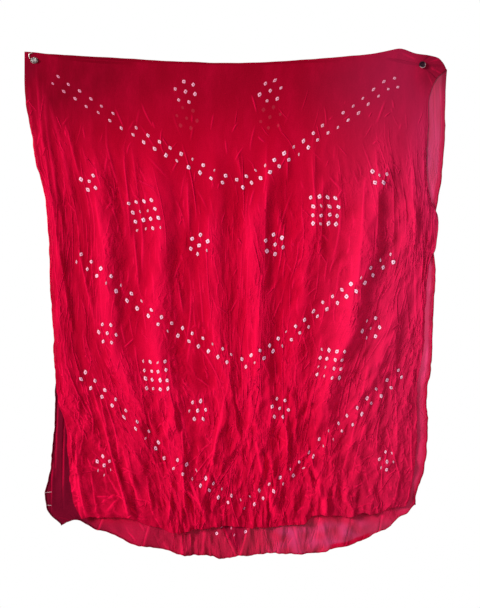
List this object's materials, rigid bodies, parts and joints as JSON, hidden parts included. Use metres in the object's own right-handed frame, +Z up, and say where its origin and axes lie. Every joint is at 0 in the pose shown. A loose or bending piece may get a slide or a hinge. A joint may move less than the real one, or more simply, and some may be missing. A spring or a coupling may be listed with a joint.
{
  "type": "bandhani cloth on two wall studs",
  "caption": "Thin tie-dyed cotton cloth folded once over its own top edge and hung in two soft-folded layers from two small metal wall studs.",
  "frame": {"origin": "the end of the left stud's shank, where it meets the wall", "axes": "+Z up, +Y into the wall, +X to the right as the cloth is faced; the wall is the plane y = 0"},
  "size_m": [0.9182, 0.0337, 1.107],
  "materials": {
    "crimson_cotton": "thin crinkled cotton, dyed crimson with small undyed pale dots",
    "silver_metal": "worn silver-grey metal",
    "pale_wire": "pale drawn wire",
    "dark_metal": "dark polished metal"
  },
  "bodies": {
    "root": {"bandhani_cloth": "crimson_cotton", "left_stud": "silver_metal", "left_stud_wire": "pale_wire", "right_stud": "dark_metal"}
  },
  "joints": []
}
